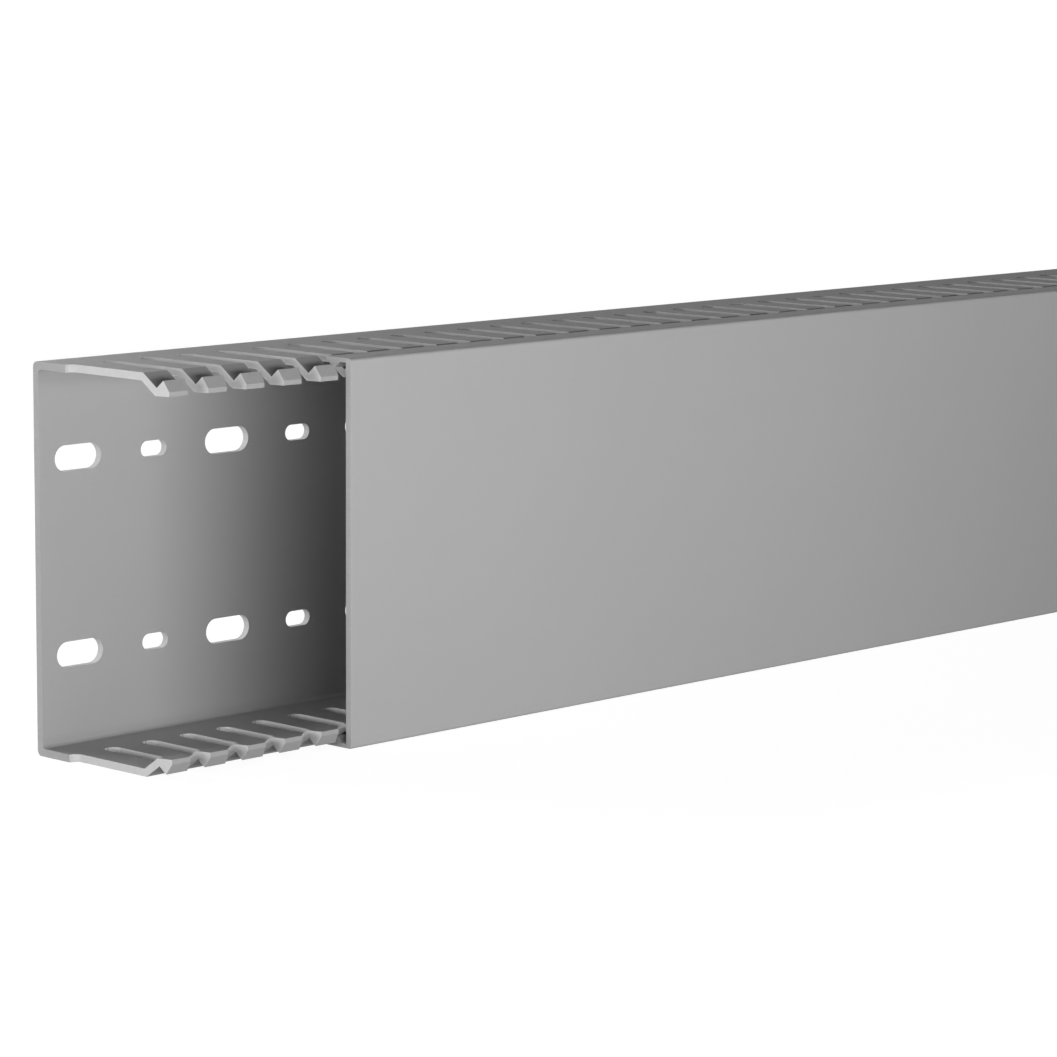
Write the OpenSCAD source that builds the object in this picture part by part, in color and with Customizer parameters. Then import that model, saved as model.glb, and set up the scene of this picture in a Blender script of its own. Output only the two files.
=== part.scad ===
// Slotted wire duct: a one-piece channel with comb-like side walls, and its clip-on cover.
// It stands on one side wall. X runs along the duct, the back wall faces +Y and the cover faces -Y.
// The origin is at the bottom centre of the whole.

/* [Duct] */
// Length of the base and of the cover
duct_length = 1000; // [500:12.5:3000]
// Outer width over the two side walls
duct_width = 100; // [80:1:150]
// Height over everything, from the back face to the front of the cover
duct_height = 50; // [45:1:100]
// Thickness of the back wall and of the side walls
wall = 2; // [1.6:0.1:2.4]
// Outer radius of the two back corners
corner_radius = 1.5; // [0.5:0.1:3]
// Radius of the two corners inside the channel
inside_radius = 1; // [0.5:0.1:2]
// How far the cover is slid along the base
cover_shift = 61.5; // [0:0.5:200]

/* [Fingers] */
// Distance from one slit to the next
slit_pitch = 12.5; // [10:0.5:16]
// Width of a slit
slit_width = 4.7; // [4.2:0.1:6]
// Height of the uncut band above the back face
band_height = 12.5; // [8:0.5:20]
// Middle of the first slit, from the end of the base
first_slit = 0; // [0:0.5:6]
// How far each finger corner is cut back at the mouth of a slit
mouth_flare = 0.9; // [0.4:0.1:1.2]
// How far behind the finger tips a slit starts to widen
mouth_depth = 3.6; // [2.4:0.1:4.2]

/* [Snap lip] */
// Depth of the lip, from the shoulder to the finger tip
lip_depth = 8.6; // [8.2:0.1:9.6]
// Height of the barb behind the finger tip
barb_height = 3.6; // [3.2:0.1:4]
// How far the groove dips inwards from the outer face
groove_dip = 3.4; // [3.2:0.1:3.8]
// Thickness of the blunt finger tip
tip_thickness = 1.2; // [0.8:0.1:1.8]

/* [Cover] */
// Thickness of the cover plate
cover_plate = 2; // [1.6:0.1:2.6]
// Thickness of the cover's legs
leg_wall = 1.2; // [1:0.1:1.4]
// How far the legs reach behind the inner face of the cover plate
leg_reach = 7.2; // [6.6:0.1:7.6]
// How far a hook stands out from its leg
hook_height = 1.4; // [1.2:0.1:1.6]
// Radius of the cover's two front edges
cover_radius = 0.8; // [0.4:0.1:1.1]
// Clearance between the cover and the fingers
snap_gap = 0.3; // [0.25:0.05:0.4]

/* [Fixing holes] */
// Distance between the two rows of holes
row_spacing = 50; // [30:1:60]
// Distance from one hole to the next in a row
hole_pitch = 25; // [25:0.5:40]
// Middle of the first hole, from the end of the base
first_hole = 12.5; // [9:0.5:20]
// Length and width of the large slots
large_slot = [15, 6.6]; // [4:0.1:16]
// Length and width of the small slots
small_slot = [8.6, 4.2]; // [3:0.1:10]

/* [Hidden] */
$fn = 48;
overcut = 1;
duct_grey = [0.64, 0.64, 0.64];
cover_grey = [0.67, 0.67, 0.67];

total_length = duct_length + cover_shift;
base_start = -total_length / 2;
back = duct_height / 2;

// Heights above the back face, and depths inwards from the outer face of a side wall
plate_inside = duct_height - cover_plate;
tip = plate_inside - snap_gap;
shoulder = tip - lip_depth;
groove = tip - barb_height;
crest_depth = leg_wall + snap_gap;
crest = groove + groove_dip - crest_depth;
lip_inside = groove_dip + wall;
ramp = groove_dip / (groove - shoulder);
ramp_gap = snap_gap * sqrt(1 + ramp * ramp);
barb_gap = snap_gap * sqrt(2);
leg_end = plate_inside - leg_reach;
hook_depth = leg_wall + hook_height;

// The depth of the cover's leg next to the ramp, and the height on the leg where it has a given depth
function leg_depth(height) = ramp * (height - shoulder) - ramp_gap;
function ramp_height(depth) = shoulder + (depth + ramp_gap) / ramp;
function barb_back(depth) = groove + groove_dip - barb_gap - depth;

// One side's [height, depth] points, followed by the same points on the opposite side
function both_sides(points) = concat(
    points,
    [for (i = [len(points) - 1 : -1 : 0]) [points[i][0], duct_width - points[i][1]]]
);

// Runs a section drawn as [height, depth] along X
module along_duct(start) {
    translate([start + duct_length, back, 0])
        rotate([90, 0, -90])
            linear_extrude(duct_length)
                children();
}

// What is cut off a square corner at the origin to round it
module corner_waste(radius) {
    difference() {
        translate([-overcut, -overcut])
            square(radius + overcut);
        translate([radius, radius])
            circle(radius);
    }
}

// What fills an inside corner at [wall, wall] to round it, rooted in both walls
module corner_fill(radius) {
    root = wall / 2;
    translate([wall, wall])
        difference() {
            translate([-root, -root])
                square(radius + root);
            translate([radius, radius])
                circle(radius);
        }
}

module base_section() {
    bend = wall * (sqrt(1 + ramp * ramp) - 1) / ramp;
    difference() {
        union() {
            polygon(both_sides([
                [0, 0],
                [shoulder, 0],
                [groove, groove_dip],
                [crest, crest_depth],
                [tip, lip_inside - tip_thickness],
                [tip, lip_inside],
                [groove - bend, lip_inside],
                [shoulder - bend, wall],
                [wall, wall]
            ]));
            corner_fill(inside_radius);
            translate([0, duct_width])
                rotate(-90)
                    corner_fill(inside_radius);
        }
        corner_waste(corner_radius);
        translate([0, duct_width])
            rotate(-90)
                corner_waste(corner_radius);
    }
}

module cover_section() {
    difference() {
        polygon(both_sides([
            [duct_height, 0],
            [leg_end, 0],
            [leg_end, leg_depth(leg_end)],
            [ramp_height(hook_depth), hook_depth],
            [barb_back(hook_depth), hook_depth],
            [barb_back(leg_wall), leg_wall],
            [plate_inside, leg_wall]
        ]));
        translate([duct_height, 0])
            rotate(90)
                corner_waste(cover_radius);
        translate([duct_height, duct_width])
            rotate(180)
                corner_waste(cover_radius);
    }
}

// One slit through both side walls: a round closed end, parallel sides and a flared mouth at the finger tips
module slit() {
    radius = slit_width / 2;
    reach = tip - band_height - radius;
    translate([0, back - band_height - radius, -overcut])
        union() {
            cylinder(r = radius, h = duct_width + 2 * overcut);
            linear_extrude(duct_width + 2 * overcut)
                polygon([
                    [-radius, 0],
                    [radius, 0],
                    [radius, mouth_depth - reach],
                    [radius + mouth_flare, -reach],
                    [radius + mouth_flare, -reach - overcut],
                    [-radius - mouth_flare, -reach - overcut],
                    [-radius - mouth_flare, -reach],
                    [-radius, mouth_depth - reach]
                ]);
        }
}

// One round-ended slot through the back wall
module fixing_slot(size) {
    straight = size[0] - size[1];
    translate([0, back + overcut, 0])
        rotate([90, 0, 0])
            linear_extrude(wall + 2 * overcut)
                union() {
                    square([straight, size[1]], center = true);
                    for (side = [-1, 1])
                        translate([side * straight / 2, 0])
                            circle(size[1] / 2);
                }
}

module slotted_base() {
    hole_stop = duct_length - first_hole;
    color(duct_grey)
        difference() {
            along_duct(base_start)
                base_section();
            for (x = [first_slit : slit_pitch : duct_length + slit_width / 2])
                translate([base_start + x, 0, 0])
                    slit();
            for (row = [-1, 1])
                translate([base_start, 0, (duct_width + row * row_spacing) / 2]) {
                    for (x = [first_hole : 2 * hole_pitch : hole_stop])
                        translate([x, 0, 0])
                            fixing_slot(large_slot);
                    for (x = [first_hole + hole_pitch : 2 * hole_pitch : hole_stop])
                        translate([x, 0, 0])
                            fixing_slot(small_slot);
                }
        }
}

module snap_cover() {
    color(cover_grey)
        along_duct(base_start + cover_shift)
            cover_section();
}

slotted_base();
snap_cover();
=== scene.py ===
"""Slotted wire duct with its clip-on cover: finished PVC profiles on a pale studio floor."""
import math

import bpy
from bpy.props import FloatProperty, FloatVectorProperty, IntProperty, PointerProperty
from mathutils import Matrix, Vector


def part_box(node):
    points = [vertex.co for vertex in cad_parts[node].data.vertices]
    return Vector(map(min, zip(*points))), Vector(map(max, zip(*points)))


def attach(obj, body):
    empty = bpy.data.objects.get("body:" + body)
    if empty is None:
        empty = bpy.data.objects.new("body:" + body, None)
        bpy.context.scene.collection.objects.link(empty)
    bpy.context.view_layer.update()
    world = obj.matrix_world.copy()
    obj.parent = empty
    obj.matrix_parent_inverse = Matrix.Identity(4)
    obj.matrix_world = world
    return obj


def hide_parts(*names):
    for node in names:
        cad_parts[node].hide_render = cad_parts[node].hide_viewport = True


bl_info = {
    "name": "Slotted Wire Duct",
    "version": (1, 0, 0),
    "blender": (4, 5, 0),
    "location": "View3D > Sidebar > Wire Duct",
    "description": "Finishes a packed slotted wire duct and its cover, and sets them on a studio floor",
    "category": "Object",
}

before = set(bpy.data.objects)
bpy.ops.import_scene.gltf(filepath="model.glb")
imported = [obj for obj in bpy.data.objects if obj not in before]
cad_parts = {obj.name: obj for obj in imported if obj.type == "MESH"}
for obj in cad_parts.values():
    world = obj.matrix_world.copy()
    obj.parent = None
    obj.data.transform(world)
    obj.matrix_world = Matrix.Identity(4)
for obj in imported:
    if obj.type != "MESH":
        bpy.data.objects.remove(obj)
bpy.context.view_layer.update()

MM = 0.001
WHITE = (1, 1, 1, 1)
MERGE_DISTANCE = 0.002 * MM
FLAT_ANGLE = math.radians(0.5)
SHARP_ANGLE = math.radians(24)
BASE_LOW, BASE_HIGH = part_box("slotted_base")
COVER_LOW, COVER_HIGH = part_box("snap_cover")
BACK_FACE = BASE_HIGH.y


# ---------------------------------------------------------------- settings


class DuctFinish(bpy.types.PropertyGroup):
    """Edges and colours of the two plastic profiles."""

    edge_round: FloatProperty(
        name="Edge rounding",
        description="Width of the small bevel on each stamped, sawn or extruded edge",
        default=0.18 * MM, min=0.05 * MM, max=0.4 * MM, unit="LENGTH", precision=5,
    )
    edge_steps: IntProperty(
        name="Edge steps", description="Segments across each rounded edge", default=2, min=1, max=3,
    )
    smooth_angle: FloatProperty(
        name="Smooth angle",
        description="Edges flatter than this are shaded as one curved surface",
        default=math.radians(30), subtype="ANGLE",
    )
    base_colour: FloatVectorProperty(
        name="Duct grey", description="Colour of the base's extruded skin",
        default=(0.375, 0.375, 0.375), subtype="COLOR", min=0, max=1,
    )
    cover_colour: FloatVectorProperty(
        name="Cover grey", description="Colour of the cover's extruded skin",
        default=(0.425, 0.425, 0.425), subtype="COLOR", min=0, max=1,
    )
    # Stamped faces are made lighter than the skin: partly the stress whitening of sheared PVC, partly
    # painted light that brightens them as if lit from the side.
    stamped_whitening_and_light: FloatProperty(
        name="Stamped lightening", description="How much lighter a stamped face is than the skin",
        default=1.75, min=1, max=2.5,
    )
    sawn_lift: FloatProperty(
        name="Sawn lightening", description="How much lighter a sawn face is than the skin",
        default=1.12, min=1, max=2.5,
    )


class DuctStage(bpy.types.PropertyGroup):
    """Floor, light and camera."""

    floor_size: FloatProperty(
        name="Floor size", description="Side of the square floor", default=14.0, unit="LENGTH",
    )
    camera_offset: FloatVectorProperty(
        name="Camera place",
        description="Camera position from the base's open end, at the back face on the floor",
        default=(-0.6232, -0.7699, 0.2032), unit="LENGTH", subtype="TRANSLATION",
    )
    heading: FloatProperty(
        name="Heading", description="Turn of the view from +Y towards +X",
        default=math.radians(46.15), subtype="ANGLE",
    )
    pitch: FloatProperty(
        name="Pitch", description="How far the camera looks down",
        default=math.radians(8.37), subtype="ANGLE",
    )
    roll: FloatProperty(
        name="Roll", description="Turn of the camera about its own axis",
        default=math.radians(0.34), subtype="ANGLE",
    )
    lens: FloatProperty(
        name="Lens", description="Focal length in mm on a 36 mm sensor", default=135.24,
    )
    ambient: FloatProperty(name="Ambient", description="Strength of the even studio light", default=0.05)
    front_power: FloatProperty(
        name="Front light", description="Power of the low strip softbox before the open end", default=3.1,
        unit="POWER",
    )
    side_power: FloatProperty(
        name="Side light", description="Power of the softbox beyond the open end", default=2.7,
        unit="POWER",
    )
    back_power: FloatProperty(
        name="Back light", description="Power of the wide softbox above and behind", default=15.0,
        unit="POWER",
    )
    far_power: FloatProperty(
        name="Far light", description="Power of the softbox beyond the covered end", default=3.0,
        unit="POWER",
    )


# ---------------------------------------------------------------- shader maths


class Value:
    """A shader socket that Python's operators can be used on."""

    def __init__(self, graph, socket):
        self.graph = graph
        self.socket = socket

    def _math(self, operation, first, second):
        return self.graph.add("ShaderNodeMath", {"operation": operation}, {0: first, 1: second})

    def __add__(self, other):
        return self._math("ADD", self, other)

    __radd__ = __add__

    def __mul__(self, other):
        return self._math("MULTIPLY", self, other)

    __rmul__ = __mul__


class Graph:
    """The node tree of one material or world."""

    def __init__(self, owner):
        owner.use_nodes = True
        self.tree = owner.node_tree
        self.tree.nodes.clear()

    def add(self, kind, settings=None, inputs=None, output=0):
        """Adds a node, makes its settings, fills its sockets and returns one output as a Value."""
        node = self.tree.nodes.new(kind)
        for name, value in (settings or {}).items():
            setattr(node, name, value)
        for name, value in (inputs or {}).items():
            if isinstance(value, Value):
                self.tree.links.new(value.socket, node.inputs[name])
            else:
                node.inputs[name].default_value = value
        return Value(self, node.outputs[output]) if node.outputs else None

    def mix(self, factor, first, second):
        """Mixes two colours."""
        return self.add(
            "ShaderNodeMix", {"data_type": "RGBA"}, {0: factor, 6: first, 7: second}, output=2
        )

    def noise(self, scale, detail=3.0, roughness=0.55, stretch=(1, 1, 1)):
        """Noise in object space. The scale is in features a metre, and stretch multiplies it per axis."""
        place = self.add("ShaderNodeTexCoord", output="Object")
        place = self.add("ShaderNodeMapping", None, {"Vector": place, "Scale": stretch})
        return self.add(
            "ShaderNodeTexNoise", {"noise_dimensions": "3D"},
            {"Vector": place, "Scale": scale, "Detail": detail, "Roughness": roughness},
        )

    def finish(self, colour, roughness, height, bump_strength, bump_depth):
        """Ends the graph in a plastic surface with a bump."""
        normal = self.add(
            "ShaderNodeBump", None, {"Strength": bump_strength, "Distance": bump_depth, "Height": height}
        )
        shader = self.add(
            "ShaderNodeBsdfPrincipled", None,
            {"Base Color": colour, "Roughness": roughness, "Normal": normal, "IOR": 1.53,
             "Specular IOR Level": 0.5},
        )
        self.add("ShaderNodeOutputMaterial", None, {"Surface": shader})


def shade(colour, factor):
    """A colour made lighter or darker by a factor, with alpha 1."""
    return (*[min(1.0, channel * factor) for channel in colour], 1.0)


# ---------------------------------------------------------------- materials


def extruded_skin(name, colour):
    """Satin PVC with fine die lines along the duct, a faint grain and slow clouding."""
    material = bpy.data.materials.new(name)
    graph = Graph(material)
    lines = graph.noise(900, detail=4, roughness=0.65, stretch=(0.002, 1, 1))
    clouds = graph.noise(9, detail=3)
    grain = graph.noise(2600, detail=2)
    tone = 0.55 * clouds + 0.3 * lines + 0.15 * grain
    surface_colour = graph.mix(tone, shade(colour, 0.955), shade(colour, 1.045))
    roughness = 0.40 + 0.10 * lines + 0.08 * clouds
    graph.finish(surface_colour, roughness, 0.6 * lines + 0.4 * grain, 0.25, 0.03 * MM)
    return material


def stamped_cut(name, colour):
    """Sheared PVC: paler than the skin, partly from stress whitening and partly as painted light, dull,
    with short streaks through the wall.
    """
    material = bpy.data.materials.new(name)
    graph = Graph(material)
    streaks = graph.noise(2400, detail=3, roughness=0.6, stretch=(1, 0.8, 0.08))
    grain = graph.noise(5200, detail=2)
    tone = 0.6 * streaks + 0.4 * grain
    surface_colour = graph.mix(tone, shade(colour, 0.9), shade(colour, 1.1))
    graph.finish(surface_colour, 0.55 + 0.15 * streaks, tone, 0.5, 0.05 * MM)
    return material


def sawn_cut(name, colour):
    """Sawn PVC: pale, dull, with parallel saw marks across the end."""
    material = bpy.data.materials.new(name)
    graph = Graph(material)
    marks = graph.noise(1500, detail=3, roughness=0.5, stretch=(1, 0.05, 1))
    grain = graph.noise(4200, detail=2)
    tone = 0.7 * marks + 0.3 * grain
    surface_colour = graph.mix(tone, shade(colour, 0.88), shade(colour, 1.12))
    graph.finish(surface_colour, 0.6 + 0.15 * marks, tone, 0.6, 0.08 * MM)
    return material


# ---------------------------------------------------------------- modelling


def only(obj):
    """Makes obj the only selected and active object."""
    bpy.ops.object.select_all(action="DESELECT")
    obj.select_set(True)
    bpy.context.view_layer.objects.active = obj


def merged_copy(node, name):
    """A copy of a CAD node with its loose triangles merged and its flat faces made whole."""
    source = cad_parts[node]
    only(source)
    bpy.ops.object.duplicate()
    piece = bpy.context.active_object
    piece.name = piece.data.name = name
    piece.data.materials.clear()
    only(piece)
    bpy.ops.object.mode_set(mode="EDIT")
    bpy.ops.mesh.customdata_custom_splitnormals_clear()
    bpy.ops.mesh.select_all(action="SELECT")
    bpy.ops.mesh.remove_doubles(threshold=MERGE_DISTANCE)
    bpy.ops.mesh.dissolve_limited(angle_limit=FLAT_ANGLE, delimit=set())
    bpy.ops.object.mode_set(mode="OBJECT")
    return piece


def round_edges(piece, width, steps):
    """Rounds every sharp edge by a small bevel."""
    only(piece)
    bpy.ops.object.mode_set(mode="EDIT")
    bpy.ops.mesh.select_mode(type="EDGE")
    bpy.ops.mesh.select_all(action="DESELECT")
    bpy.ops.mesh.edges_select_sharp(sharpness=SHARP_ANGLE)
    bpy.ops.mesh.bevel(offset=width, segments=steps, profile=0.5, clamp_overlap=True, material=-1)
    bpy.ops.object.mode_set(mode="OBJECT")


def settle_shading(piece, angle):
    """Smooth shading that keeps the large faces flat."""
    only(piece)
    bpy.ops.object.shade_smooth_by_angle(angle=angle)
    bpy.ops.object.modifier_add(type="WEIGHTED_NORMAL")
    piece.modifiers[-1].keep_sharp = True
    bpy.ops.object.modifier_apply(modifier=piece.modifiers[-1].name)


def paint_cuts(piece, low, high, is_stamped):
    """Gives the sawn ends the last slot and the stamped faces slot 1. The skin stays in slot 0."""
    sawn_slot = len(piece.data.materials) - 1
    end_gap = 0.6 * MM
    for face in piece.data.polygons:
        middle = face.center
        if abs(face.normal.x) > 0.5 and min(middle.x - low.x, high.x - middle.x) < end_gap:
            face.material_index = sawn_slot
        elif is_stamped(face):
            face.material_index = 1


def stamped_in_base(face):
    """True on the walls of the slits and of the fixing holes."""
    skin_tilt = 0.05
    lip_zone = 6 * MM
    back_tilt = 0.8
    in_side_wall = min(face.center.z - BASE_LOW.z, BASE_HIGH.z - face.center.z) < lip_zone
    if in_side_wall:
        return abs(face.normal.x) > skin_tilt
    return abs(face.normal.y) < back_tilt


# ---------------------------------------------------------------- operators


class WIREDUCT_OT_base(bpy.types.Operator):
    """Finish the slotted base: rounded edges, extruded skin, stamped slits and sawn ends"""

    bl_idname = "wireduct.base"
    bl_label = "Slotted base"

    def execute(self, context):
        settings = context.scene.duct_finish
        piece = merged_copy("slotted_base", "slotted_channel")
        for material in (
            extruded_skin("duct_skin", settings.base_colour),
            # The stamped colour is the duct grey lightened for stress whitening and for painted light.
            stamped_cut("duct_stamped", shade(settings.base_colour, settings.stamped_whitening_and_light)[:3]),
            sawn_cut("duct_sawn", shade(settings.base_colour, settings.sawn_lift)[:3]),
        ):
            piece.data.materials.append(material)
        paint_cuts(piece, BASE_LOW, BASE_HIGH, stamped_in_base)
        round_edges(piece, settings.edge_round, settings.edge_steps)
        settle_shading(piece, settings.smooth_angle)
        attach(piece, "base")
        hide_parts("slotted_base")
        return {"FINISHED"}


class WIREDUCT_OT_cover(bpy.types.Operator):
    """Finish the cover: rounded edges, extruded skin and sawn ends"""

    bl_idname = "wireduct.cover"
    bl_label = "Cover"

    def execute(self, context):
        settings = context.scene.duct_finish
        piece = merged_copy("snap_cover", "cover_profile")
        for material in (
            extruded_skin("cover_skin", settings.cover_colour),
            sawn_cut("cover_sawn", shade(settings.cover_colour, settings.sawn_lift)[:3]),
        ):
            piece.data.materials.append(material)
        paint_cuts(piece, COVER_LOW, COVER_HIGH, lambda face: False)
        round_edges(piece, settings.edge_round, settings.edge_steps)
        settle_shading(piece, settings.smooth_angle)
        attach(piece, "cover")
        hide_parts("snap_cover")
        return {"FINISHED"}


class WIREDUCT_OT_stage(bpy.types.Operator):
    """Set up the pale floor, the studio light and the camera"""

    bl_idname = "wireduct.stage"
    bl_label = "Stage"

    def execute(self, context):
        settings = context.scene.duct_stage
        self.floor(settings)
        self.world(context.scene, settings)
        self.lights(settings)
        self.camera(context.scene, settings)
        context.scene.view_settings.view_transform = "Standard"
        return {"FINISHED"}

    def floor(self, settings):
        """A floor that lights the duct as pale ground does, and that the camera sees as white."""
        near_glow, near_grey, shadow_reach, shadow_edge = 0.93, 0.2, (0.9, 1.9, 1), 4
        bpy.ops.mesh.primitive_plane_add(size=settings.floor_size, location=(0, 0, 0))
        floor = bpy.context.active_object
        floor.name = "studio_floor"
        material = bpy.data.materials.new("studio_floor")
        graph = Graph(material)
        seen = graph.add("ShaderNodeLightPath", output="Is Camera Ray")
        plain = graph.add("ShaderNodeBsdfDiffuse", None, {"Color": (0.8, 0.8, 0.8, 1)})
        glow = graph.add("ShaderNodeEmission", None, {"Color": WHITE, "Strength": near_glow})
        shadowed = graph.add("ShaderNodeBsdfDiffuse", None, {"Color": (near_grey, near_grey, near_grey, 1)})
        near = graph.add("ShaderNodeAddShader", None, {0: shadowed, 1: glow})
        far = graph.add("ShaderNodeEmission", None, {"Color": WHITE, "Strength": 1.0})
        place = graph.add("ShaderNodeTexCoord", output="Object")
        place = graph.add("ShaderNodeMapping", None, {"Vector": place, "Scale": shadow_reach})
        around = graph.add("ShaderNodeTexGradient", {"gradient_type": "SPHERICAL"}, {"Vector": place})
        backdrop = graph.add("ShaderNodeMixShader", None, {0: shadow_edge * around, 1: far, 2: near})
        both = graph.add("ShaderNodeMixShader", None, {0: seen, 1: plain, 2: backdrop})
        graph.add("ShaderNodeOutputMaterial", None, {"Surface": both})
        floor.data.materials.append(material)

    def world(self, scene, settings):
        """White to the camera, and a faint even light to everything else."""
        world = bpy.data.worlds.new("studio")
        scene.world = world
        graph = Graph(world)
        seen = graph.add("ShaderNodeLightPath", output="Is Camera Ray")
        light = graph.add("ShaderNodeBackground", None, {"Color": WHITE, "Strength": settings.ambient})
        backdrop = graph.add("ShaderNodeBackground", None, {"Color": WHITE, "Strength": 1.0})
        both = graph.add("ShaderNodeMixShader", None, {0: seen, 1: light, 2: backdrop})
        graph.add("ShaderNodeOutputWorld", None, {"Surface": both})

    def lights(self, settings):
        """Softboxes before the open end, beyond both ends, and behind."""
        end, far = BASE_LOW.x, COVER_HIGH.x
        near = end - 0.02
        self.softbox("front_softbox", (near, -0.6, 0.07), (near, 0, 0.07), 0.8, 0.12, settings.front_power)
        side = end - 0.75
        self.softbox("side_softbox", (side, -0.05, 0.14), (end, 0, 0.05), 0.4, 0.24, settings.side_power)
        behind = end + 0.1
        self.softbox("back_softbox", (behind, 1.1, 0.6), (behind, 0, 0.05), 1.4, 0.6, settings.back_power)
        self.softbox("far_softbox", (far + 0.8, -0.15, 0.3), (far, 0, 0.05), 0.5, 0.4, settings.far_power)

    def softbox(self, name, place, target, width, height, power):
        """An area light that faces its target and that the camera doesn't see."""
        place = Vector(place)
        bpy.ops.object.light_add(type="AREA", location=place)
        light = bpy.context.active_object
        light.name = name
        light.data.shape = "RECTANGLE"
        light.data.size = width
        light.data.size_y = height
        light.data.energy = power
        light.visible_camera = False
        light.rotation_euler = (Vector(target) - place).to_track_quat("-Z", "Y").to_euler()

    def camera(self, scene, settings):
        """A centred camera, placed from the open end and turned by heading, pitch and roll."""
        bpy.ops.object.camera_add()
        camera = bpy.context.active_object
        camera.name = "camera"
        sin_h, cos_h = math.sin(settings.heading), math.cos(settings.heading)
        sin_p, cos_p = math.sin(settings.pitch), math.cos(settings.pitch)
        forward = Vector((sin_h * cos_p, cos_h * cos_p, -sin_p))
        right = Vector((cos_h, -sin_h, 0))
        turn = Matrix((right, right.cross(forward), -forward)).transposed()
        turn = turn @ Matrix.Rotation(settings.roll, 3, "Z")
        corner = Vector((BASE_LOW.x, BACK_FACE, BASE_LOW.z))
        camera.matrix_world = Matrix.Translation(corner + Vector(settings.camera_offset)) @ turn.to_4x4()
        camera.data.sensor_width = 36
        camera.data.lens = settings.lens
        camera.data.clip_end = 50
        scene.camera = camera


class WIREDUCT_PT_panel(bpy.types.Panel):
    """Lists the pieces of the wire duct and their settings"""

    bl_label = "Wire Duct"
    bl_idname = "WIREDUCT_PT_panel"
    bl_space_type = "VIEW_3D"
    bl_region_type = "UI"
    bl_category = "Wire Duct"

    def draw(self, context):
        for operator in OPERATORS:
            self.layout.operator(operator.bl_idname)
        for group in (context.scene.duct_finish, context.scene.duct_stage):
            for name in group.bl_rna.properties.keys():
                if name not in ("rna_type", "name"):
                    self.layout.prop(group, name)


OPERATORS = (WIREDUCT_OT_base, WIREDUCT_OT_cover, WIREDUCT_OT_stage)
CLASSES = (DuctFinish, DuctStage, *OPERATORS, WIREDUCT_PT_panel)


def register():
    for cls in CLASSES:
        bpy.utils.register_class(cls)
    bpy.types.Scene.duct_finish = PointerProperty(type=DuctFinish)
    bpy.types.Scene.duct_stage = PointerProperty(type=DuctStage)


def unregister():
    del bpy.types.Scene.duct_stage
    del bpy.types.Scene.duct_finish
    for cls in reversed(CLASSES):
        bpy.utils.unregister_class(cls)


def main():
    register()
    bpy.ops.wireduct.base()
    bpy.ops.wireduct.cover()
    bpy.ops.wireduct.stage()


if __name__ == "__main__":
    main()
